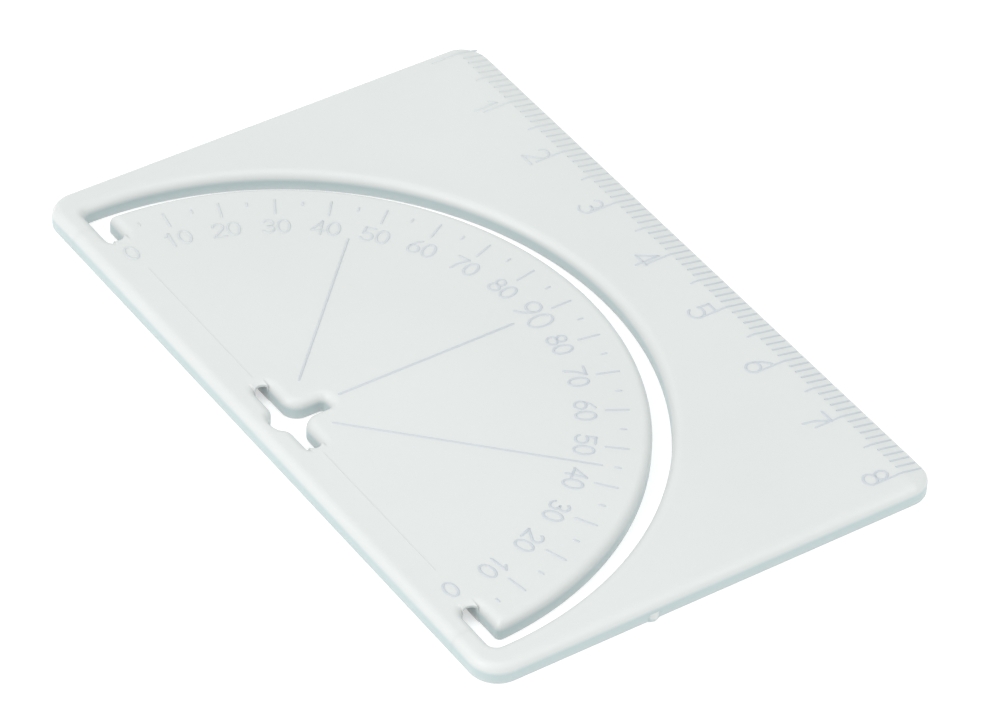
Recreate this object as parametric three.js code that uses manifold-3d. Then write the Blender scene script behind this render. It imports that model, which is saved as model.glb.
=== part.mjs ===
// Pocket geometry card: a wallet-sized plastic card with a centimetre ruler on one long
// edge and a half-disc protractor leaf that folds up out of its window on a living hinge.
// Millimetres, +Z up. The origin is under the middle of the card, on the face it lies on;
// +X runs along the ruler towards its higher numbers and +Y runs towards the ruler edge.
import * as THREE from 'three';
import { mergeVertices } from 'three/addons/utils/BufferGeometryUtils.js';
import Module from 'manifold-3d';

const wasm = await Module();
wasm.setup();

// Card blank
const CARD_LENGTH = 84.2;
const CARD_WIDTH = 54.1;
const THICKNESS = 2.2;
const CORNER_RADIUS = 3.1;

// Protractor: everything round is centred on the vertex, where the baseline is crossed
// by the 90 degree line
const VERTEX_X = 0.15;
const BASELINE_Y = -23.3;
const WINDOW_RADIUS = 38.65;
const LEAF_RADIUS = 36.65;
const LEAF_RISE = 1.0;            // the leaf's straight side, above the baseline
const LEAF_CORNER_RADIUS = 0.6;
const NOTCH_DROP = 0.95;          // the window's straight side in the end notches, below it
const NOTCH_END = 32.6;           // distance from the vertex to a notch's inner end
const WINDOW_CORNER_RADIUS = 0.9;

// Star-shaped sighting hole at the vertex: two arms along the baseline, one up, one bulge down
const ARM_DROP = 0.65;            // the lower side of the arms and the hinge, below the baseline
const STAR_ARM_REACH = 5.5;
const STAR_UP_REACH = 4.9;
const STAR_UP_HALF_WIDTH = 0.8;
const STAR_SHOULDER_RADIUS = 1.8;
const STAR_TIP_RADIUS = 0.6;
const STAR_BULGE_HALF_WIDTH = 2.3;
const STAR_BULGE_DROP = 1.95;     // the bulge's lowest point, below the baseline

// Living hinge: two thin webs at the top skin, between the star and the notches
const WEB_THICKNESS = 0.5;
const WEB_GAP = 0.3;

// Ruler
const BEVEL_WIDTH = 2.8;
const BEVEL_DROP = 0.6;
const SCALE_LENGTH = 80;
const SCALE_ZERO_X = -40.65;
const MIDDLE_TICK = 3.7;          // reach of the 5 mm ticks in from the edge
const LONG_TICK = 6.1;            // reach of the centimetre ticks

// Raised marks
const MARK_WIDTH = 0.24;
const MARK_HEIGHT = 0.08;
const MARK_ROOT = 0.1;            // how deep a mark's root sits in the plate
const TEN_DEGREE_TICK = { from: 32.1, to: 34.3 };
const FIVE_DEGREE_TICK = { from: 33.5, to: 33.9 };
const NORMAL_LINE = { angle: 90, from: 6.3, to: 27.2 };
const DIAGONAL_LINES = [
  { angle: 45, from: 4.8, to: 32.0 },
  { angle: 135, from: 5.6, to: 28.6 },
];

// Gate vestige: the stub left on the right-hand short side where the mould was filled
const GATE = { y: -7.7, length: 1.2, reach: 0.35, height: 0.9 };

const ARC_STEPS = 6;              // half the segments of one arc
const ARC_SPANS = 4;              // the long arcs are drawn as this many arcs

const plastic = new THREE.MeshStandardMaterial({
  color: 0xe4eae9, roughness: 0.42, metalness: 0,
});

function arcInSpans(path, radius, start, end) {
  for (let i = 0; i < ARC_SPANS; i++) {
    const from = start + (end - start) * i / ARC_SPANS;
    const to = start + (end - start) * (i + 1) / ARC_SPANS;
    path.absarc(0, 0, radius, from, to, end < start);
  }
}

function extrude(shape, depth) {
  return new THREE.ExtrudeGeometry(shape, {
    depth, bevelEnabled: false, curveSegments: ARC_STEPS,
  });
}

function solidOf(geometry) {
  const bare = geometry.clone();
  bare.deleteAttribute('normal');
  bare.deleteAttribute('uv');
  const merged = mergeVertices(bare, 1e-5);
  return new wasm.Manifold(new wasm.Mesh({
    numProp: 3,
    vertProperties: new Float32Array(merged.attributes.position.array),
    triVerts: new Uint32Array(merged.index.array),
  }));
}

function geometryOf(solid) {
  const mesh = solid.getMesh();
  const geometry = new THREE.BufferGeometry();
  geometry.setAttribute('position', new THREE.BufferAttribute(mesh.vertProperties, 3));
  geometry.setIndex(new THREE.BufferAttribute(mesh.triVerts, 1));
  geometry.computeVertexNormals();
  return geometry;
}

function addPiece(parent, name, geometry) {
  const mesh = new THREE.Mesh(geometry, plastic);
  mesh.name = name;
  parent.add(mesh);
  return mesh;
}

// Outlines ------------------------------------------------------------------

function cardOutline() {
  const halfLength = CARD_LENGTH / 2;
  const halfWidth = CARD_WIDTH / 2;
  const r = CORNER_RADIUS;
  const shape = new THREE.Shape();
  shape.absarc(halfLength - r, -halfWidth + r, r, -Math.PI / 2, 0);
  shape.absarc(halfLength - r, halfWidth - r, r, 0, Math.PI / 2);
  shape.absarc(-halfLength + r, halfWidth - r, r, Math.PI / 2, Math.PI);
  shape.absarc(-halfLength + r, -halfWidth + r, r, Math.PI, 1.5 * Math.PI);
  shape.closePath();
  return shape;
}

// The window, drawn about the vertex: the arc, the notches, and the lower side of the
// hinge with the star's bulge in it
function windowOutline() {
  const r = WINDOW_CORNER_RADIUS;
  const step = NOTCH_DROP - ARM_DROP;
  const wide = STAR_BULGE_HALF_WIDTH;
  const handle = wide / 2;
  const shape = new THREE.Shape();
  arcInSpans(shape, WINDOW_RADIUS, 0, Math.PI);
  shape.absarc(-WINDOW_RADIUS + r, -NOTCH_DROP + r, r, Math.PI, 1.5 * Math.PI);
  shape.lineTo(-NOTCH_END, -NOTCH_DROP);
  shape.lineTo(-NOTCH_END + step, -ARM_DROP);
  shape.lineTo(-wide, -ARM_DROP);
  shape.bezierCurveTo(
    -wide + handle, -ARM_DROP, -handle, -STAR_BULGE_DROP, 0, -STAR_BULGE_DROP,
  );
  shape.bezierCurveTo(
    handle, -STAR_BULGE_DROP, wide - handle, -ARM_DROP, wide, -ARM_DROP,
  );
  shape.lineTo(NOTCH_END - step, -ARM_DROP);
  shape.lineTo(NOTCH_END, -NOTCH_DROP);
  shape.absarc(WINDOW_RADIUS - r, -NOTCH_DROP + r, r, -Math.PI / 2, 0);
  shape.closePath();
  return shape;
}

// The leaf, drawn about the vertex: a half disc with rounded ends and the upper half of
// the star cut into its straight side
function leafOutline() {
  const r = LEAF_CORNER_RADIUS;
  const cornerY = LEAF_RISE + r;
  const cornerX = Math.sqrt((LEAF_RADIUS - r) ** 2 - cornerY ** 2);
  const cornerAngle = Math.atan2(cornerY, cornerX);
  const shape = new THREE.Shape();
  shape.absarc(cornerX, cornerY, r, -Math.PI / 2, cornerAngle);
  arcInSpans(shape, LEAF_RADIUS, cornerAngle, Math.PI - cornerAngle);
  shape.absarc(-cornerX, cornerY, r, Math.PI - cornerAngle, 1.5 * Math.PI);
  const side = STAR_UP_HALF_WIDTH;
  const shoulder = STAR_SHOULDER_RADIUS;
  const shoulderY = LEAF_RISE + shoulder;
  const tip = STAR_TIP_RADIUS;
  shape.absarc(-side - shoulder, shoulderY, shoulder, -Math.PI / 2, 0);
  shape.absarc(-side + tip, STAR_UP_REACH - tip, tip, Math.PI, Math.PI / 2, true);
  shape.absarc(side - tip, STAR_UP_REACH - tip, tip, Math.PI / 2, 0, true);
  shape.absarc(side + shoulder, shoulderY, shoulder, Math.PI, 1.5 * Math.PI);
  shape.closePath();
  return shape;
}

// Raised marks ----------------------------------------------------------------

// A straight rib on the leaf, along a ray from the vertex
function rayMark({ angle, from, to }) {
  const rib = new THREE.BoxGeometry(to - from, MARK_WIDTH, MARK_ROOT + MARK_HEIGHT);
  rib.translate((from + to) / 2, 0, THICKNESS + (MARK_HEIGHT - MARK_ROOT) / 2);
  rib.rotateZ(THREE.MathUtils.degToRad(angle));
  return rib;
}

// One ruler rib: it follows the bevel and, if it is long, runs on over the flat
function rulerMark(millimetre) {
  const edge = CARD_WIDTH / 2;
  let reach = BEVEL_WIDTH;
  if (millimetre % 5 === 0) reach = MIDDLE_TICK;
  if (millimetre % 10 === 0) reach = LONG_TICK;
  const bevelStart = edge - BEVEL_WIDTH;
  const profile = new THREE.Shape();
  profile.moveTo(edge - reach, THICKNESS - MARK_ROOT);
  profile.lineTo(edge, THICKNESS - BEVEL_DROP - MARK_ROOT);
  profile.lineTo(edge, THICKNESS - BEVEL_DROP + MARK_HEIGHT);
  profile.lineTo(bevelStart, THICKNESS + MARK_HEIGHT);
  if (reach > BEVEL_WIDTH) profile.lineTo(edge - reach, THICKNESS + MARK_HEIGHT);
  profile.closePath();
  const rib = extrude(profile, MARK_WIDTH);
  rib.translate(0, 0, -MARK_WIDTH / 2);
  rib.rotateX(Math.PI / 2);
  rib.rotateZ(Math.PI / 2);
  rib.translate(SCALE_ZERO_X + millimetre, 0, 0);
  return rib;
}

// Pieces ------------------------------------------------------------------------

function bevelWedge() {
  const edge = CARD_WIDTH / 2;
  const slope = BEVEL_DROP / BEVEL_WIDTH;
  const profile = new THREE.Shape();
  profile.moveTo(edge - BEVEL_WIDTH, THICKNESS);
  profile.lineTo(edge + 1, THICKNESS - BEVEL_DROP - slope);
  profile.lineTo(edge + 1, THICKNESS + slope);
  profile.closePath();
  const wedge = extrude(profile, CARD_LENGTH + 2);
  wedge.rotateX(Math.PI / 2);
  wedge.rotateZ(Math.PI / 2);
  wedge.translate(-CARD_LENGTH / 2 - 1, 0, 0);
  return wedge;
}

function gateStub() {
  const overlap = 0.5;
  const stub = new THREE.BoxGeometry(GATE.reach + overlap, GATE.length, GATE.height);
  stub.translate(CARD_LENGTH / 2 + (GATE.reach - overlap) / 2, GATE.y, GATE.height / 2);
  return stub;
}

function makeFrame() {
  const cutter = extrude(windowOutline(), THICKNESS + 2);
  cutter.translate(VERTEX_X, BASELINE_Y, -1);
  let solid = solidOf(extrude(cardOutline(), THICKNESS));
  solid = solid.subtract(solidOf(cutter)).subtract(solidOf(bevelWedge()));
  solid = solid.add(solidOf(gateStub()));
  for (let millimetre = 0; millimetre <= SCALE_LENGTH; millimetre++) {
    solid = solid.add(solidOf(rulerMark(millimetre)));
  }
  return geometryOf(solid);
}

function makeLeaf() {
  let solid = solidOf(extrude(leafOutline(), THICKNESS));
  const marks = [NORMAL_LINE, ...DIAGONAL_LINES];
  for (let angle = 5; angle < 180; angle += 5) {
    marks.push({ angle, ...(angle % 10 === 0 ? TEN_DEGREE_TICK : FIVE_DEGREE_TICK) });
  }
  for (const mark of marks) solid = solid.add(solidOf(rayMark(mark)));
  return geometryOf(solid);
}

// A web reaches from the star's arm to the notch's inner end, with a clear gap on its
// two long sides
function makeWeb(fromX, toX) {
  const width = LEAF_RISE + ARM_DROP - 2 * WEB_GAP;
  const web = new THREE.BoxGeometry(toX - fromX, width, WEB_THICKNESS);
  const middleY = (LEAF_RISE - ARM_DROP) / 2;
  web.translate((fromX + toX) / 2, middleY, THICKNESS - WEB_THICKNESS / 2);
  return web;
}

const card = new THREE.Group();
addPiece(card, 'card_frame', makeFrame());

const aboutVertex = new THREE.Group();
aboutVertex.position.set(VERTEX_X, BASELINE_Y, 0);
card.add(aboutVertex);
addPiece(aboutVertex, 'protractor_leaf', makeLeaf());
addPiece(aboutVertex, 'hinge_web_left', makeWeb(-NOTCH_END, -STAR_ARM_REACH));
addPiece(aboutVertex, 'hinge_web_right', makeWeb(STAR_ARM_REACH, NOTCH_END));

export default card;
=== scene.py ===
"""The looks of the pocket ruler and protractor card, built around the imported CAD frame.

The whole moulding is made once, as one rounded body with its slot and its star hole, and
then cut across the narrow strip into two pieces: the card, and the leaf with its hinge.
Lengths are in millimetres until a mesh is finished; MM turns them into metres.
"""
import bmesh
import bpy
import math
import random
from mathutils import Matrix, Vector


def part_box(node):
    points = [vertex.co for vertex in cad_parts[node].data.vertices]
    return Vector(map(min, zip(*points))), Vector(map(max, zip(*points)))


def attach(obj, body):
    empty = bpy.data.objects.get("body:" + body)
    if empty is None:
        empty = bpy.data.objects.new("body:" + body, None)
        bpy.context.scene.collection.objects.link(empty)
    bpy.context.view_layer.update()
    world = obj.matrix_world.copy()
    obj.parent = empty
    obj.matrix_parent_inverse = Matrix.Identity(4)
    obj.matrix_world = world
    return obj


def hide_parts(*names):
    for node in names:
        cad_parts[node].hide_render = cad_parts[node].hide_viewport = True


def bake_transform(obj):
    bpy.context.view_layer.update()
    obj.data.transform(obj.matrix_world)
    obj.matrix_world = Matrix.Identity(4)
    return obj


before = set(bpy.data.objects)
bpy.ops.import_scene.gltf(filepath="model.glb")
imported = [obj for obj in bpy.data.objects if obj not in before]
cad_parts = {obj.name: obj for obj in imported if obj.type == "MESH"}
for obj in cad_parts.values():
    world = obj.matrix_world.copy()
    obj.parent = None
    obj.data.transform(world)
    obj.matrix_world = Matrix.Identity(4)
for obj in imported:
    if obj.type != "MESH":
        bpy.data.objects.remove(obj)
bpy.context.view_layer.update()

MM = 0.001

# ---------------------------------------------------------------- sizes from the frame


def box_mm(node):
    low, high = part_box(node)
    return low / MM, high / MM


card_low, card_high = box_mm("card_frame")
leaf_low, leaf_high = box_mm("protractor_leaf")
web_left_low, web_left_high = box_mm("hinge_web_left")
web_right_low, _ = box_mm("hinge_web_right")

LEAF_RISE = 1.0           # the leaf's straight side, above the baseline

HALF_LENGTH = -card_low.x
HALF_WIDTH = card_high.y
THICKNESS = web_left_high.z
VERTEX_X = (leaf_low.x + leaf_high.x) / 2
BASELINE_Y = leaf_low.y - LEAF_RISE
LEAF_RADIUS = leaf_high.y - BASELINE_Y
HINGE_Y = (web_left_low.y + web_left_high.y) / 2
ARM_DROP = LEAF_RISE - 2 * (HINGE_Y - BASELINE_Y)
NOTCH_END = VERTEX_X - web_left_low.x
WEB_THICKNESS = THICKNESS - web_left_low.z
STAR_ARM = (web_right_low.x - web_left_high.x) / 2

# ---------------------------------------------------------------- sizes of the fine shape

CORNER_RADIUS = 3.1
SLOT_WIDTH = 2.0
WINDOW_RADIUS = LEAF_RADIUS + SLOT_WIDTH
WINDOW_CORNER = 0.9
LEAF_CORNER = 0.6
NOTCH_DROP = 0.95         # the window's straight side in the notches, below the baseline
STAR_UP = 4.9
STAR_UP_HALF = 0.8
STAR_SHOULDER = 1.8
STAR_TIP = 0.6
STAR_BULGE_HALF = 2.3
STAR_BULGE_DROP = 1.95

TOP_ROUND = 1.05          # soft radius of every upper edge but the ruler's
RULER_ROUND = 0.5
BOTTOM_ROUND = 0.2
FLAT_MARGIN = 0.06        # a narrow flat ring that keeps the flat's shading flat
BEVEL_WIDTH = 2.8
BEVEL_DROP = 0.6
BEVEL_BLEND = 0.25
GROOVE_WALL = 0.1         # width of the sloping sides of the hinge groove underneath
STRIP_CUT = 35.6          # from the vertex to where the strip is cut between the pieces
MARK_SHADE_START = -38.0        # the marks' painted shade grows from here to the next length, along the card
MARK_SHADE_END = 5.0

# Raised marks: half widths, heights, and places on the ruler (from its outer edge)
MARK_HEIGHT = 0.08
MARK_HALF = 0.19
MARK_SINK = 0.04          # how deep a mark's foot lies in the plastic
SCALE_ZERO_X = -40.65
SCALE_LENGTH = 80
MIDDLE_TICK = 3.7
LONG_TICK = 6.1
NUMERAL_PITCH = 0.78      # from digit to digit, as a share of the numeral's height
NUMERAL_HALF = 0.22
RULER_NUMERAL_HEIGHT = 2.7
RULER_NUMERAL_INSET = 5.5
RULER_NUMERAL_SHIFT = -0.8

# Raised marks of the leaf: radii about the vertex
TEN_DEGREE_TICK = (32.1, 34.3)
FIVE_DEGREE_TICK = (33.5, 33.9)
LONG_LINES = ((90, 6.3, 27.2, 0.24), (45, 4.8, 32.0, MARK_HALF), (135, 5.6, 28.6, MARK_HALF))
DEGREE_NUMERAL_RADIUS = 29.95
DEGREE_NUMERAL_HEIGHT = 2.05
RIGHT_ANGLE_HEIGHT = 2.8
ZERO_DROP = 0.1           # the two zeros sit a little below their ray
BASELINE_GAP = 1.2        # from the star's arms to the baseline
BASELINE_REACH = 27
BASELINE_RISE = 0.16
BASELINE_HALF = 0.1
BASELINE_HEIGHT = 0.02

# The gate stub; its grid has GATE_COLUMNS by GATE_ROWS points
GATE_Y = -7.7
GATE_LENGTH = 1.3
GATE_LIFT = 0.08
GATE_HEIGHT = 0.85
GATE_REACH = 0.42
GATE_OVERLAP = 0.02
GATE_ROOT = 0.3
GATE_COLUMNS = 7
GATE_ROWS = 5
GATE_SEED = 4

# ---------------------------------------------------------------- how finely things are made

SAME_POINT = 1e-4
WIDE_STEP = 1.5           # degrees between the points of the arcs, widest arcs first
CARD_CORNER_STEP = 7.5
FILLET_STEP = 9
TIGHT_STEP = 11
LEAF_CORNER_STEP = 15
TOP_STEPS = 8             # steps of an upper edge's rounding
BOTTOM_STEPS = 3          # and of a lower one's
GROOVE_CUTS = 16          # cuts along the webs, where the leaf's piece bends
MITRE_LIMIT = 0.5
SHARP_ANGLE = 35
# Painted shade on the side walls: each point's share below darkens and tints its base colour
WALL_NORMAL = 0.35        # a point whose normal rises more than this is no part of a wall
PAINTED_WALL_SHADE = "painted_wall_shade"

# ---------------------------------------------------------------- outlines


def arc(cx, cy, radius, start, end, step, least=4):
    """Points of an arc from start to end, in degrees; it runs either way round."""
    count = max(least, round(abs(end - start) / step))
    points = []
    for i in range(count + 1):
        a = math.radians(start + (end - start) * i / count)
        points.append((cx + radius * math.cos(a), cy + radius * math.sin(a)))
    return points


def bezier(p0, p1, p2, p3, count=10):
    points = []
    for i in range(count + 1):
        t = i / count
        k = ((1 - t) ** 3, 3 * t * (1 - t) ** 2, 3 * t * t * (1 - t), t ** 3)
        points.append(tuple(sum(w * p[a] for w, p in zip(k, (p0, p1, p2, p3)))
                            for a in (0, 1)))
    return points


def tidy_loop(points):
    """Drops repeated points, and closes the gap between the last and the first."""
    kept = []
    for p in points:
        if not kept or math.dist(p, kept[-1]) > SAME_POINT:
            kept.append(p)
    if math.dist(kept[0], kept[-1]) < SAME_POINT:
        kept.pop()
    return kept


def about_vertex(points):
    return [(x + VERTEX_X, y + BASELINE_Y) for x, y in points]


# Every loop runs with the plastic on its left.

def outer_loop():
    x, y, r = HALF_LENGTH, HALF_WIDTH, CORNER_RADIUS
    step = CARD_CORNER_STEP
    return tidy_loop(
        arc(x - r, r - y, r, -90, 0, step) + arc(x - r, y - r, r, 0, 90, step)
        + arc(r - x, y - r, r, 90, 180, step) + arc(r - x, r - y, r, 180, 270, step)
    )


def slot_loop():
    """The arc slot and the two end notches, one opening."""
    big, leaf, c, w = WINDOW_RADIUS, LEAF_RADIUS, LEAF_CORNER, WINDOW_CORNER
    n, middle = (LEAF_RISE + NOTCH_DROP) / 2, (LEAF_RISE - NOTCH_DROP) / 2
    (corner_x, corner_y), lift = leaf_corner()
    return tidy_loop(about_vertex(
        arc(0, 0, big, 180, 0, WIDE_STEP)
        + arc(big - w, w - NOTCH_DROP, w, 0, -90, TIGHT_STEP)
        + arc(NOTCH_END + n, middle, n, -90, -270, TIGHT_STEP)
        + arc(corner_x, corner_y, c, -90, lift, LEAF_CORNER_STEP)
        + arc(0, 0, leaf, lift, 180 - lift, WIDE_STEP)
        + arc(-corner_x, corner_y, c, 180 - lift, 270, LEAF_CORNER_STEP)
        + arc(-NOTCH_END - n, middle, n, 90, -90, TIGHT_STEP)
        + arc(w - big, w - NOTCH_DROP, w, -90, -180, TIGHT_STEP)
    ))


def leaf_corner():
    """Centre of the leaf's right-hand corner, about the vertex, and its polar angle."""
    y = LEAF_RISE + LEAF_CORNER
    x = math.sqrt((LEAF_RADIUS - LEAF_CORNER) ** 2 - y ** 2)
    return (x, y), math.degrees(math.atan2(y, x))


def star_loop():
    """The sighting hole: an arm up into the leaf, two arms along the strip, a bulge below."""
    arm, low = STAR_ARM, -STAR_BULGE_DROP
    s, h, up, tip = STAR_SHOULDER, STAR_UP_HALF, STAR_UP, STAR_TIP
    n, middle = (LEAF_RISE + ARM_DROP) / 2, (LEAF_RISE - ARM_DROP) / 2
    wide = STAR_BULGE_HALF
    ease = wide / 2
    return tidy_loop(about_vertex(
        arc(-h - s, LEAF_RISE + s, s, -90, 0, FILLET_STEP)
        + arc(tip - h, up - tip, tip, 180, 90, TIGHT_STEP)
        + arc(h - tip, up - tip, tip, 90, 0, TIGHT_STEP)
        + arc(h + s, LEAF_RISE + s, s, 180, 270, FILLET_STEP)
        + arc(arm - n, middle, n, 90, -90, TIGHT_STEP)
        + bezier((wide, -ARM_DROP), (wide - ease, -ARM_DROP), (ease, low), (0, low))
        + bezier((0, low), (-ease, low), (ease - wide, -ARM_DROP), (-wide, -ARM_DROP))
        + arc(n - arm, middle, n, -90, -270, TIGHT_STEP)
    ))


# ---------------------------------------------------------------- the moulded body


def quarter_turn(steps):
    return [math.radians(90 * i / steps) for i in range(steps + 1)]


def edge_profile(radius):
    """(how far in from the wall, height) from the underside to the top, up a wall."""
    b, r = BOTTOM_ROUND, radius
    low = [(b - b * math.sin(a), b - b * math.cos(a)) for a in quarter_turn(BOTTOM_STEPS)]
    high = [(r - r * math.cos(a), THICKNESS - r + r * math.sin(a))
            for a in quarter_turn(TOP_STEPS)]
    return [(b + FLAT_MARGIN, 0.0)] + low + high + [(r + FLAT_MARGIN, THICKNESS)]


def outer_round(x, y):
    """The card's upper edge is soft all round, and crisper along the ruler."""
    share = smooth_step((y - HALF_WIDTH + CORNER_RADIUS) / CORNER_RADIUS)
    return TOP_ROUND + (RULER_ROUND - TOP_ROUND) * share


def opening_round(x, y):
    """An opening's upper edge gives way where the strip beside it is narrow."""
    return min(TOP_ROUND, y + HALF_WIDTH - TOP_ROUND - 3 * FLAT_MARGIN)


def inward_normals(loop):
    """For each point, the way into the plastic, longer at a corner so that walls stay even."""
    normals = []
    count = len(loop)
    for i in range(count):
        (ax, ay), (bx, by), (cx, cy) = loop[i - 1], loop[i], loop[(i + 1) % count]
        first = Vector((-(by - ay), bx - ax)).normalized()
        second = Vector((-(cy - by), cx - bx)).normalized()
        middle = (first + second).normalized()
        normals.append(middle / max(MITRE_LIMIT, middle.dot(first)))
    return normals


def leaf_mitres():
    """(centre, direction) of the leaf's two tight corners, where the soft edge mitres."""
    (x, y), lift = leaf_corner()
    corners = []
    for side in (1, -1):
        centre = Vector((VERTEX_X + side * x, BASELINE_Y + y))
        straight = Vector((0, 1))
        round_side = Vector((-side * math.cos(math.radians(lift)), -math.sin(math.radians(lift))))
        bisector = (straight + round_side).normalized()
        corners.append((centre, bisector / bisector.dot(straight)))
    return corners


def step_in(point, normal, inset, mitres):
    """A point moved into the plastic; past a tight corner's centre it follows the mitre."""
    for centre, direction in mitres:
        if inset > LEAF_CORNER and abs((Vector(point) - centre).length - LEAF_CORNER) < 1e-3:
            return centre + direction * (inset - LEAF_CORNER)
    return Vector(point) + normal * inset


def add_wall(bm, loop, round_at):
    """Sweeps the edge profile round a loop; returns the lowest and the highest ring."""
    mitres = leaf_mitres()
    columns = []
    for point, normal in zip(loop, inward_normals(loop)):
        columns.append([(step_in(point, normal, inset, mitres), height)
                        for inset, height in edge_profile(round_at(*point))])
    rings = []
    for level in range(len(columns[0])):
        ring = []
        for column in columns:
            place, height = column[level]
            if ring and (ring[-1].co.xy - place).length < SAME_POINT:
                ring.append(ring[-1])
            else:
                ring.append(bm.verts.new((place.x, place.y, height)))
        rings.append(ring)
    count = len(loop)
    for lower, upper in zip(rings, rings[1:]):
        for i in range(count):
            j = (i + 1) % count
            corners = list(dict.fromkeys((lower[i], lower[j], upper[j], upper[i])))
            if len(corners) > 2:
                bm.faces.new(corners)
    return [list(dict.fromkeys(ring)) for ring in (rings[0], rings[-1])]


def add_cap(bm, rings, up):
    """Fills the flat between the outer ring and the openings' rings; up is 1 or -1."""
    edges = []
    for ring in rings:
        for i, vert in enumerate(ring):
            edges.append(bm.edges.get((vert, ring[(i + 1) % len(ring)])))
    made = bmesh.ops.triangle_fill(bm, use_beauty=True, edges=edges, normal=(0, 0, up))
    for face in made["geom"]:
        if isinstance(face, bmesh.types.BMFace):
            face.normal_update()
            if face.normal.z * up < 0:
                face.normal_flip()


def cut(bm, point, normal):
    geometry = bm.verts[:] + bm.edges[:] + bm.faces[:]
    bmesh.ops.bisect_plane(bm, geom=geometry, dist=SAME_POINT, plane_co=point, plane_no=normal)


def smooth_step(t):
    t = min(1.0, max(0.0, t))
    return t * t * (3 - 2 * t)


def bevel_fall(y):
    """How far the ruler's bevel has dropped below the flat at y."""
    start = HALF_WIDTH - BEVEL_WIDTH
    slope = BEVEL_DROP / BEVEL_WIDTH
    past = y - start
    if past <= -BEVEL_BLEND:
        return 0.0
    if past < BEVEL_BLEND:
        return slope * (past + BEVEL_BLEND) ** 2 / (4 * BEVEL_BLEND)
    return slope * past


def groove_height(y):
    """Height of the hinge groove's roof above the underside, 0 outside the groove."""
    deep = THICKNESS - WEB_THICKNESS
    near = y - (BASELINE_Y - ARM_DROP)
    far = BASELINE_Y + LEAF_RISE - y
    return deep * smooth_step(near / GROOVE_WALL) * smooth_step(far / GROOVE_WALL)


def shape_thickness(bm):
    """Presses the ruler bevel down from the top and the hinge groove up from below."""
    for v in bm.verts:
        share = v.co.z / THICKNESS
        if v.co.y > 0:
            v.co.z -= bevel_fall(v.co.y) * share
        elif abs(v.co.x - VERTEX_X) < NOTCH_END + (LEAF_RISE + NOTCH_DROP) / 2:
            v.co.z += groove_height(v.co.y) * (1 - share)


def moulded_body():
    """The whole card in one body, cut into strips wherever it has to slope or bend."""
    bm = bmesh.new()
    bottoms, tops = [], []
    outlines = ((outer_loop(), outer_round), (slot_loop(), opening_round),
                (star_loop(), opening_round))
    for loop, round_at in outlines:
        bottom, top = add_wall(bm, loop, round_at)
        bottoms.append(bottom)
        tops.append(top)
    add_cap(bm, bottoms, -1)
    add_cap(bm, tops, 1)
    bevel_start = HALF_WIDTH - BEVEL_WIDTH
    for k in (-1, -0.5, 0, 0.5, 1):
        cut(bm, (0, bevel_start + k * BEVEL_BLEND, 0), (0, 1, 0))
    groove_low, groove_high = BASELINE_Y - ARM_DROP, BASELINE_Y + LEAF_RISE
    for k in range(GROOVE_CUTS + 1):
        cut(bm, (0, groove_low + (groove_high - groove_low) * k / GROOVE_CUTS, 0), (0, 1, 0))
    for inset in (0.5 * GROOVE_WALL, GROOVE_WALL):
        cut(bm, (0, groove_high - inset, 0), (0, 1, 0))
        cut(bm, (0, groove_low + inset, 0), (0, 1, 0))
    for side in (-1, 1):
        cut(bm, (VERTEX_X + side * STRIP_CUT, 0, 0), (1, 0, 0))
    shape_thickness(bm)
    return bm


def leaf_faces(bm):
    """The faces of the leaf, its hinge and the strip, up to the two cuts in the strip."""
    found = set()
    for face in bm.faces:
        x, y, _ = face.calc_center_median() - Vector((VERTEX_X, BASELINE_Y, 0))
        in_leaf = y > 0 and math.hypot(x, y) < LEAF_RADIUS + SLOT_WIDTH / 2
        in_strip = y <= 0 and abs(x) < STRIP_CUT
        if in_leaf or in_strip:
            found.add(face)
    return found


def piece_from(bm, name, keep):
    """A copy of the body with only the kept faces, and its cut ends closed."""
    indices = {f.index for f in keep}
    part = bm.copy()
    part.faces.ensure_lookup_table()
    bmesh.ops.delete(part, geom=[f for f in part.faces if f.index not in indices],
                     context="FACES")
    ends = []
    for side in (-1, 1):
        rim = [e for e in part.edges
               if e.is_boundary and (e.verts[0].co.x - VERTEX_X) * side > 0]
        ends += bmesh.ops.triangle_fill(part, edges=rim, use_beauty=True)["geom"]
    bmesh.ops.recalc_face_normals(part, faces=part.faces)
    return finish_mesh(part, name, [f for f in ends if isinstance(f, bmesh.types.BMFace)])


def finish_mesh(bm, name, flat_faces=()):
    """Turns a millimetre bmesh into a smooth-shaded object in metres.

    Each point keeps how much painted wall shade it takes, 0 on the flats and 1 on a wall.
    """
    bmesh.ops.transform(bm, matrix=Matrix.Scale(MM, 4), verts=bm.verts)
    bm.normal_update()
    sharp = math.radians(SHARP_ANGLE)
    for face in bm.faces:
        face.smooth = True
    for edge in bm.edges:
        if len(edge.link_faces) == 2 and edge.calc_face_angle(0) > sharp:
            edge.smooth = False
    for face in flat_faces:
        if face.is_valid:
            for edge in face.edges:
                edge.smooth = False
    # how much painted shade each point takes, from how steep it is
    walls = [smooth_step((WALL_NORMAL - abs(v.normal.z)) / WALL_NORMAL) for v in bm.verts]
    mesh = bpy.data.meshes.new(name)
    bm.to_mesh(mesh)
    bm.free()
    mesh.attributes.new(PAINTED_WALL_SHADE, "FLOAT", "POINT").data.foreach_set("value", walls)
    piece = bpy.data.objects.new(name, mesh)
    bpy.context.scene.collection.objects.link(piece)
    return piece


# ---------------------------------------------------------------- raised marks


def top_height(x, y):
    """Height of the upper surface, with the ruler's bevel and its soft outer edge."""
    height = THICKNESS - bevel_fall(y)
    from_edge = HALF_WIDTH - y
    if from_edge < RULER_ROUND:
        rise = RULER_ROUND - from_edge
        height -= RULER_ROUND - math.sqrt(max(0.0, RULER_ROUND ** 2 - rise ** 2))
    return height


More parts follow.
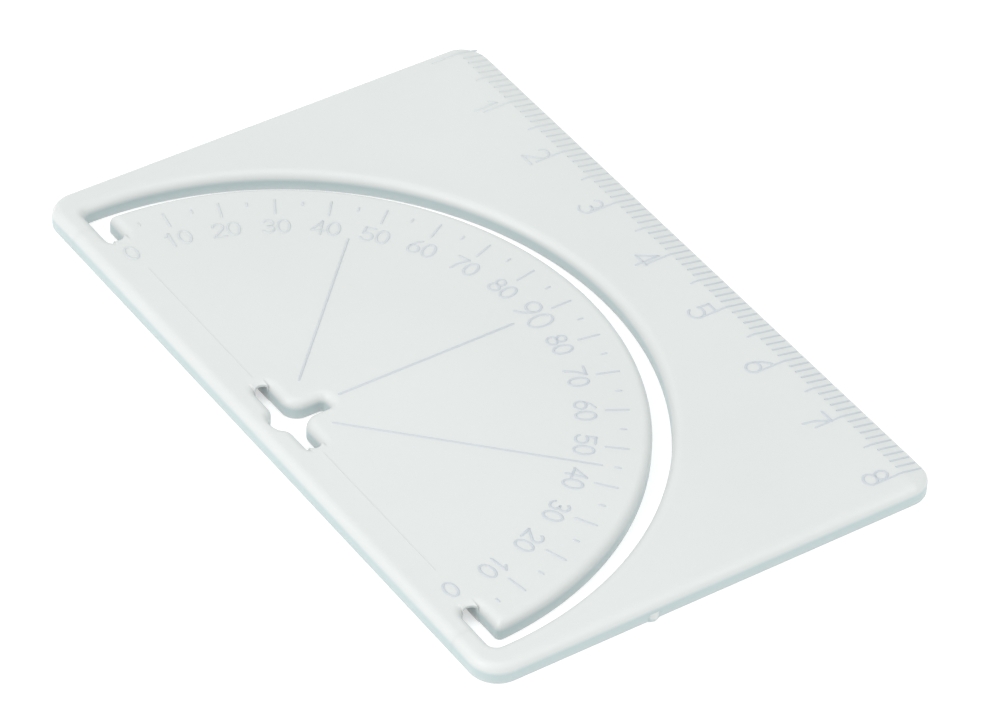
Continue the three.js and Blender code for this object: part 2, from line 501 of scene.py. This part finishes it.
# A mark's section: (share of its half width, share of its height); the feet run out
# into the surface, as a cut in a mould leaves them
MARK_SECTION = ((-1.0, 0.0), (-0.72, 0.22), (-0.45, 0.75), (-0.18, 0.98), (0.18, 0.98),
                (0.45, 0.75), (0.72, 0.22), (1.0, 0.0))
TIP_ANGLES = (35, 62, 82)   # stations of a mark's rounded tip, 90 being its very end


def add_rib(bm, path, half=MARK_HALF, height=MARK_HEIGHT, closed=False):
    """A low rounded rib along a path that lies on the upper surface."""
    count = len(path)
    stations = []
    for i, (x, y) in enumerate(path):
        before = path[i - 1] if i or closed else path[i]
        after = path[(i + 1) % count] if i < count - 1 or closed else path[i]
        along = Vector((after[0] - before[0], after[1] - before[1])).normalized()
        stations.append((Vector((x, y)), along, 1.0))
    if not closed:
        start, along, _ = stations[0]
        end, end_along, _ = stations[-1]
        tips = [(math.sin(a) * half, math.cos(a)) for a in map(math.radians, TIP_ANGLES)]
        stations = ([(start - along * d, along, k) for d, k in reversed(tips)] + stations
                    + [(end + end_along * d, end_along, k) for d, k in tips])
    rows = []
    for centre, along, scale in stations:
        side = Vector((-along.y, along.x))
        row = []
        for across, rise in MARK_SECTION:
            p = centre + side * across * half * scale
            row.append(bm.verts.new((p.x, p.y, top_height(p.x, p.y)
                                     - MARK_SINK + (height + MARK_SINK) * rise * scale)))
        rows.append(row)
    pairs = list(zip(rows, rows[1:])) + ([(rows[-1], rows[0])] if closed else [])
    width = len(MARK_SECTION)
    for a, b in pairs:
        for k in range(width):
            m = (k + 1) % width
            bm.faces.new((a[k], b[k], b[m], a[m]))
    if not closed:
        bm.faces.new(rows[0])
        bm.faces.new(tuple(reversed(rows[-1])))


# Numerals are strokes in a box 1 high, standing on y = 0, with x centred on 0

def oval(cx, cy, rx, ry, start=0, end=360, count=20):
    points = []
    for i in range(count + 1):
        a = math.radians(start + (end - start) * i / count)
        points.append((cx + rx * math.cos(a), cy + ry * math.sin(a)))
    return points


NUMERALS = {
    "0": [oval(0, 0.5, 0.3, 0.5, count=24)[:-1]],
    "1": [[(-0.14, 0.8), (0.06, 1.0)], [(0.06, 1.0), (0.06, 0.0)]],
    "2": [oval(0, 0.73, 0.27, 0.27, 165, -35, 12) + [(-0.29, 0.0)], [(-0.29, 0.0), (0.3, 0.0)]],
    "3": [oval(0, 0.75, 0.24, 0.25, 150, -90, 13), oval(0, 0.26, 0.28, 0.26, 90, -150, 13)],
    "4": [[(0.14, 0.0), (0.14, 1.0)], [(0.14, 1.0), (-0.32, 0.3)], [(-0.32, 0.3), (0.34, 0.3)]],
    "5": [[(0.25, 1.0), (-0.2, 1.0)], [(-0.2, 1.0), (-0.25, 0.55)],
          oval(-0.02, 0.31, 0.3, 0.31, 128, -150, 16)],
    "6": [[(0.16, 1.0), (-0.08, 0.78), (-0.22, 0.5)] + oval(0, 0.29, 0.28, 0.29, 150, -210, 20)],
    "7": [[(-0.29, 1.0), (0.29, 1.0)], [(0.29, 1.0), (0.0, 0.5), (-0.12, 0.0)]],
    "8": [oval(0, 0.76, 0.23, 0.24, count=20)[:-1], oval(0, 0.26, 0.29, 0.26, count=20)[:-1]],
    "9": [oval(0, 0.71, 0.28, 0.29, 330, -30, 20) + [(0.2, 0.45), (0.06, 0.2), (-0.18, 0.0)]],
}
CLOSED_STROKES = ("0", "8")


def add_numeral(bm, text, centre, height, turn=0.0):
    """Digits side by side, centred on a point and turned by an angle in radians."""
    spin = Matrix.Rotation(turn, 2)
    for i, digit in enumerate(text):
        shift = (i - (len(text) - 1) / 2) * NUMERAL_PITCH * height
        for stroke in NUMERALS[digit]:
            path = []
            for x, y in stroke:
                p = spin @ Vector((x * height + shift, (y - 0.5) * height))
                path.append((centre[0] + p.x, centre[1] + p.y))
            add_rib(bm, path, half=NUMERAL_HALF, closed=digit in CLOSED_STROKES)


def ruler_lines():
    bm = bmesh.new()
    outer = HALF_WIDTH - RULER_ROUND
    for millimetre in range(SCALE_LENGTH + 1):
        reach = BEVEL_WIDTH
        if millimetre % 5 == 0:
            reach = MIDDLE_TICK
        if millimetre % 10 == 0:
            reach = LONG_TICK
        x = SCALE_ZERO_X + millimetre
        inner = HALF_WIDTH - reach
        stops = [inner, HALF_WIDTH - BEVEL_WIDTH - BEVEL_BLEND, HALF_WIDTH - BEVEL_WIDTH,
                 HALF_WIDTH - BEVEL_WIDTH + BEVEL_BLEND, outer]
        add_rib(bm, [(x, y) for y in stops if y >= inner])
    return finish_mesh(bm, "ruler_lines")


def ruler_numerals():
    bm = bmesh.new()
    y = HALF_WIDTH - RULER_NUMERAL_INSET
    for number in range(1, SCALE_LENGTH // 10 + 1):
        x = SCALE_ZERO_X + 10 * number + RULER_NUMERAL_SHIFT
        add_numeral(bm, str(number), (x, y), RULER_NUMERAL_HEIGHT)
    return finish_mesh(bm, "ruler_numerals")


def polar(angle, radius):
    a = math.radians(angle)
    return VERTEX_X + math.cos(a) * radius, BASELINE_Y + math.sin(a) * radius


def degree_lines():
    bm = bmesh.new()
    for angle in range(5, 180, 5):
        tick = TEN_DEGREE_TICK if angle % 10 == 0 else FIVE_DEGREE_TICK
        add_rib(bm, [polar(angle, radius) for radius in tick])
    for angle, start, end, half in LONG_LINES:
        add_rib(bm, [polar(angle, start), polar(angle, end)], half=half)
    return finish_mesh(bm, "degree_lines")


def degree_numerals():
    bm = bmesh.new()
    for angle in range(0, 181, 10):
        value = angle if angle <= 90 else 180 - angle
        height = RIGHT_ANGLE_HEIGHT if angle == 90 else DEGREE_NUMERAL_HEIGHT
        x, y = polar(angle, DEGREE_NUMERAL_RADIUS)
        if value == 0:
            y -= ZERO_DROP
        add_numeral(bm, str(value), (x, y), height, math.radians(angle - 90))
    return finish_mesh(bm, "degree_numerals")


def baseline():
    """The faint line along the hinge, out from the star's arms on both sides."""
    bm = bmesh.new()
    for side in (-1, 1):
        y = BASELINE_Y + BASELINE_RISE
        ends = (STAR_ARM + BASELINE_GAP, BASELINE_REACH)
        add_rib(bm, [(VERTEX_X + side * x, y) for x in ends],
                half=BASELINE_HALF, height=BASELINE_HEIGHT)
    return finish_mesh(bm, "baseline_line")


def gate_stub():
    """The torn stub on the right-hand short side where the mould was filled."""
    draw = random.Random(GATE_SEED)
    columns, rows = GATE_COLUMNS, GATE_ROWS
    bm = bmesh.new()
    grid = []
    for i in range(columns):
        line = []
        for k in range(rows):
            u, w = i / (columns - 1), k / (rows - 1)
            swell = math.sin(math.pi * u) ** 0.6 * math.sin(math.pi * min(1, 0.25 + 0.75 * w))
            reach = GATE_REACH * max(0.0, swell) * draw.uniform(0.55, 1.0)
            line.append(bm.verts.new((HALF_LENGTH + reach - GATE_OVERLAP,
                                      GATE_Y + GATE_LENGTH * (u - 0.5),
                                      GATE_LIFT + GATE_HEIGHT * w)))
        grid.append(line)
    for i in range(columns - 1):
        for k in range(rows - 1):
            bm.faces.new((grid[i][k], grid[i + 1][k], grid[i + 1][k + 1], grid[i][k + 1]))
    rim = [grid[i][0] for i in range(columns)]
    rim += [grid[-1][k] for k in range(1, rows)]
    rim += [grid[i][-1] for i in range(columns - 2, -1, -1)]
    rim += [grid[0][k] for k in range(rows - 2, 0, -1)]
    back = [bm.verts.new((HALF_LENGTH - GATE_ROOT, v.co.y, v.co.z)) for v in rim]
    for i, vert in enumerate(rim):
        j = (i + 1) % len(rim)
        bm.faces.new((vert, back[i], back[j], rim[j]))
    bm.faces.new(back)
    bmesh.ops.recalc_face_normals(bm, faces=bm.faces)
    return finish_mesh(bm, "gate_stub")


# ---------------------------------------------------------------- material


PLASTIC_LOOK = {
    "Subsurface Weight": 0.12,
    "Subsurface Radius": (1.0, 1.0, 1.0),
    "Subsurface Scale": 0.0015,
    "IOR": 1.49,
}
FLOW_COLORS = ((0.54, 0.548, 0.545, 1), (0.56, 0.568, 0.565, 1))
POLISH_COLORS = ((0.36, 0.36, 0.36, 1), (0.5, 0.5, 0.5, 1))   # read as roughness
RAMP_LOW, RAMP_HIGH = 0.3, 0.7
# Painted shade: the side walls are darkened and tinted teal in the base colour, in place of the
# shade that falls on them
WALL_SHADE_TINT = (0.72, 0.84, 0.86, 1)
# Painted shade: the marks' base colour is darkened and blued in place of their relief shading,
# and fades out towards the card's left end
MARK_SHADE_TINT = (0.84, 0.87, 0.94, 1)
MARK_SHADE_LEAST = 0.25         # the share of the marks' painted shade that is left at the left-hand start of its fade
# Noise: (scale, detail, roughness)
FLOW = (28, 3, 0.5)
POLISH = (160, 5, 0.6)
GRAIN = (5200, 3, 0.6)
WAVES = (90, 2, 0.5)
# Bumps: (strength, height in metres)
GRAIN_BUMP = (0.12, 0.00002)
WAVE_BUMP = (0.15, 0.0001)


def milky_plastic(name, mark_shade_tint=None):
    """The card's plastic, with painted shade on its walls; the raised marks take a painted shade
    that fades out towards the left.
    """
    material = bpy.data.materials.new(name)
    material.use_nodes = True
    nodes, links = material.node_tree.nodes, material.node_tree.links
    shader = nodes["Principled BSDF"]
    for socket, value in PLASTIC_LOOK.items():
        shader.inputs[socket].default_value = value

    place = nodes.new("ShaderNodeTexCoord")

    def noise(scale, detail, rough):
        node = nodes.new("ShaderNodeTexNoise")
        node.inputs["Scale"].default_value = scale
        node.inputs["Detail"].default_value = detail
        node.inputs["Roughness"].default_value = rough
        links.new(place.outputs["Object"], node.inputs["Vector"])
        return node

    def ramp(source, colors):
        node = nodes.new("ShaderNodeValToRGB")
        stops = zip(node.color_ramp.elements, (RAMP_LOW, RAMP_HIGH), colors)
        for element, position, color in stops:
            element.position = position
            element.color = color
        links.new(source.outputs["Fac"], node.inputs["Fac"])
        return node.outputs["Color"]

    def multiplied(factor, source, color):
        node = nodes.new("ShaderNodeMixRGB")
        node.blend_type = "MULTIPLY"
        links.new(factor, node.inputs["Fac"])
        links.new(source, node.inputs["Color1"])
        node.inputs["Color2"].default_value = color
        return node.outputs["Color"]

    def bump(source, strength, distance, under=None):
        node = nodes.new("ShaderNodeBump")
        node.inputs["Strength"].default_value = strength
        node.inputs["Distance"].default_value = distance
        links.new(source.outputs["Fac"], node.inputs["Height"])
        if under:
            links.new(under, node.inputs["Normal"])
        return node.outputs["Normal"]

    # painted shade on the walls, laid into the base colour
    wall = nodes.new("ShaderNodeAttribute")
    wall.attribute_name = PAINTED_WALL_SHADE
    flow = ramp(noise(*FLOW), FLOW_COLORS)
    color = multiplied(wall.outputs["Fac"], flow, WALL_SHADE_TINT)
    # painted shade on the marks, weaker towards the card's left end
    if mark_shade_tint:
        parts = nodes.new("ShaderNodeSeparateXYZ")
        links.new(place.outputs["Object"], parts.inputs["Vector"])
        mark_shade_share = nodes.new("ShaderNodeMapRange")
        mark_shade_share.inputs["From Min"].default_value = MARK_SHADE_START * MM
        mark_shade_share.inputs["From Max"].default_value = MARK_SHADE_END * MM
        mark_shade_share.inputs["To Min"].default_value = MARK_SHADE_LEAST
        links.new(parts.outputs["X"], mark_shade_share.inputs["Value"])
        color = multiplied(mark_shade_share.outputs["Result"], color, mark_shade_tint)
    links.new(color, shader.inputs["Base Color"])

    links.new(ramp(noise(*POLISH), POLISH_COLORS), shader.inputs["Roughness"])
    fine = bump(noise(*GRAIN), *GRAIN_BUMP)
    links.new(bump(noise(*WAVES), *WAVE_BUMP, under=fine), shader.inputs["Normal"])
    return material


# ---------------------------------------------------------------- pieces

plastic = milky_plastic("milky_plastic")
mark_plastic = milky_plastic("milky_plastic_marks", MARK_SHADE_TINT)


def dress(piece, rides_on=None, material=plastic):
    piece.data.materials.append(material)
    if rides_on:
        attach(piece, rides_on)
    return piece


def bend_at_hinge(piece):
    """Bakes the piece's place into its points; the piece is not attached to a body and does not
    bend.
    """
    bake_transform(piece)


body = moulded_body()
body.faces.ensure_lookup_table()
body.faces.index_update()
leaf_part = leaf_faces(body)
card_piece = piece_from(body, "card_moulding", set(body.faces) - leaf_part)
leaf_piece = piece_from(body, "leaf_moulding", leaf_part)
body.free()

dress(card_piece, "card")
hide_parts("card_frame")
bend_at_hinge(dress(leaf_piece))
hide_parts("protractor_leaf", "hinge_web_left", "hinge_web_right")

dress(ruler_lines(), "card", material=mark_plastic)
dress(ruler_numerals(), "card", material=mark_plastic)
dress(degree_lines(), "leaf", material=mark_plastic)
bend_at_hinge(dress(degree_numerals(), material=mark_plastic))
bend_at_hinge(dress(baseline()))
dress(gate_stub(), "card")

# ---------------------------------------------------------------- stage, light and camera

# In metres and degrees; the camera stands where the photo was taken from
FLOOR_HALF = 4.0
FLOOR_DROP = 0.00002
FLOOR_COLOR = (0.62, 0.62, 0.62, 1)
FLOOR_ROUGHNESS = 0.9
FLOOR_GLOW = 0.75
CAMERA_AZIMUTH = 54.467
CAMERA_ELEVATION = 40.496
CAMERA_ROLL = 2.694
CAMERA_DISTANCE = 0.5684
CAMERA_TARGET = (0.00435, -0.00043, 0.0019)
CAMERA_LENS = 201.9
CAMERA_SENSOR = 36
BACKDROP_COLOR = (0.92, 1.0, 0.995, 1)
BACKDROP_STRENGTH = 0.84
# Lights: (name, place, size, power, colour)
LIGHTS = (
    ("key", (-0.1, -0.6, 0.52), 0.6, 3.8, (1.0, 0.95, 0.94)),
    ("top", (0.1, 0.0, 0.9), 0.8, 1.5, (1.0, 0.97, 0.96)),
    ("fill", (0.5, 0.3, 0.5), 0.5, 1.5, (1.0, 0.97, 0.96)),
)


def surface(name, color, roughness, glow):
    material = bpy.data.materials.new(name)
    material.use_nodes = True
    shader = material.node_tree.nodes["Principled BSDF"]
    shader.inputs["Base Color"].default_value = color
    shader.inputs["Roughness"].default_value = roughness
    shader.inputs["Emission Color"].default_value = color
    shader.inputs["Emission Strength"].default_value = glow
    return material


def make_floor():
    bm = bmesh.new()
    bmesh.ops.create_grid(bm, x_segments=1, y_segments=1, size=FLOOR_HALF)
    mesh = bpy.data.meshes.new("floor")
    bm.to_mesh(mesh)
    bm.free()
    floor = bpy.data.objects.new("floor", mesh)
    floor.location.z = -FLOOR_DROP
    bpy.context.scene.collection.objects.link(floor)
    mesh.materials.append(surface("floor_white", FLOOR_COLOR, FLOOR_ROUGHNESS, FLOOR_GLOW))


def soft_light(name, place, size, power, color):
    """A round lamp that points at the middle of the card's underside."""
    lamp = bpy.data.lights.new(name, "AREA")
    lamp.shape = "DISK"
    lamp.size = size
    lamp.energy = power
    lamp.color = color
    light = bpy.data.objects.new(name, lamp)
    light.location = place
    light.rotation_euler = (-Vector(place)).to_track_quat("-Z", "Y").to_euler()
    bpy.context.scene.collection.objects.link(light)


def make_camera():
    angles = (CAMERA_AZIMUTH, CAMERA_ELEVATION, CAMERA_ROLL)
    azimuth, elevation, roll = (math.radians(a) for a in angles)
    back = Vector((math.sin(azimuth) * math.cos(elevation),
                   -math.cos(azimuth) * math.cos(elevation), math.sin(elevation)))
    camera = bpy.data.cameras.new("camera")
    camera.lens = CAMERA_LENS
    camera.sensor_width = CAMERA_SENSOR
    camera.clip_start = 0.01
    camera.clip_end = 20
    holder = bpy.data.objects.new("camera", camera)
    turn = (-back).to_track_quat("-Z", "Y").to_matrix() @ Matrix.Rotation(roll, 3, "Z")
    place = Vector(CAMERA_TARGET) + back * CAMERA_DISTANCE
    holder.matrix_world = Matrix.Translation(place) @ turn.to_4x4()
    bpy.context.scene.collection.objects.link(holder)
    bpy.context.scene.camera = holder


def make_world():
    world = bpy.data.worlds.new("studio")
    world.use_nodes = True
    backdrop = world.node_tree.nodes["Background"]
    backdrop.inputs["Color"].default_value = BACKDROP_COLOR
    backdrop.inputs["Strength"].default_value = BACKDROP_STRENGTH
    bpy.context.scene.world = world
    bpy.context.scene.view_settings.view_transform = "Standard"


make_floor()
for light in LIGHTS:
    soft_light(*light)
make_world()
make_camera()

bpy.context.view_layer.update()
